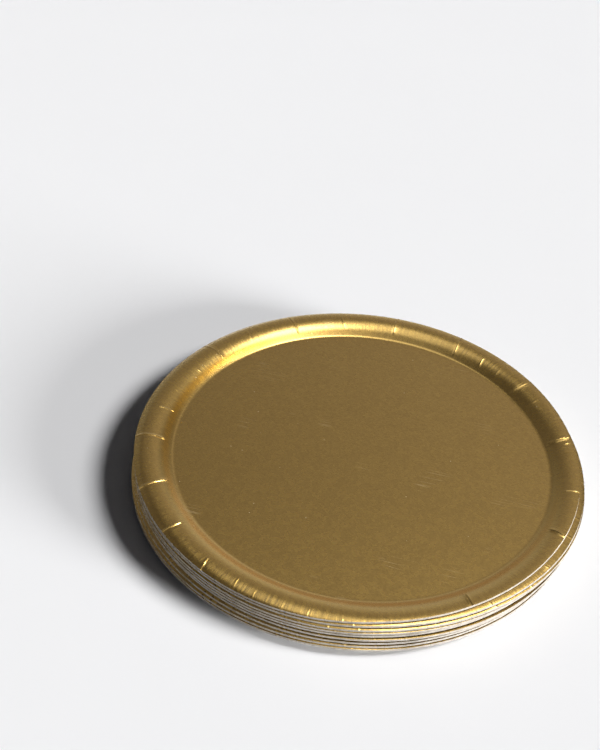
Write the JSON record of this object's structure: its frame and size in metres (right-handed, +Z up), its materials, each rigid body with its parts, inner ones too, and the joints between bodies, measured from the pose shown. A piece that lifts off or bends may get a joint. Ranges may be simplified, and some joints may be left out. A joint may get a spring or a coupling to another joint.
{
  "type": "stack of paper plates",
  "caption": "Loose, slightly fanned stack of round pressed paper plates with gold foil faces, flat wells, sloped walls, crowned pleated rims and bare board edges.",
  "frame": {"origin": "centre of the flat underside of the bottom plate's well, on the surface that the stack stands on", "axes": "+Z up through the stack, -Y towards the viewer, +X to the viewer's right"},
  "size_m": [0.1819, 0.1827, 0.0164],
  "materials": {
    "gold_foil_board": "satin gold foil on white paperboard"
  },
  "bodies": {
    "root": {"plate_1": "gold_foil_board", "plate_2": "gold_foil_board", "plate_3": "gold_foil_board", "plate_4": "gold_foil_board", "plate_5": "gold_foil_board", "plate_6": "gold_foil_board", "plate_7": "gold_foil_board", "plate_8": "gold_foil_board", "plate_9": "gold_foil_board"}
  },
  "joints": []
}
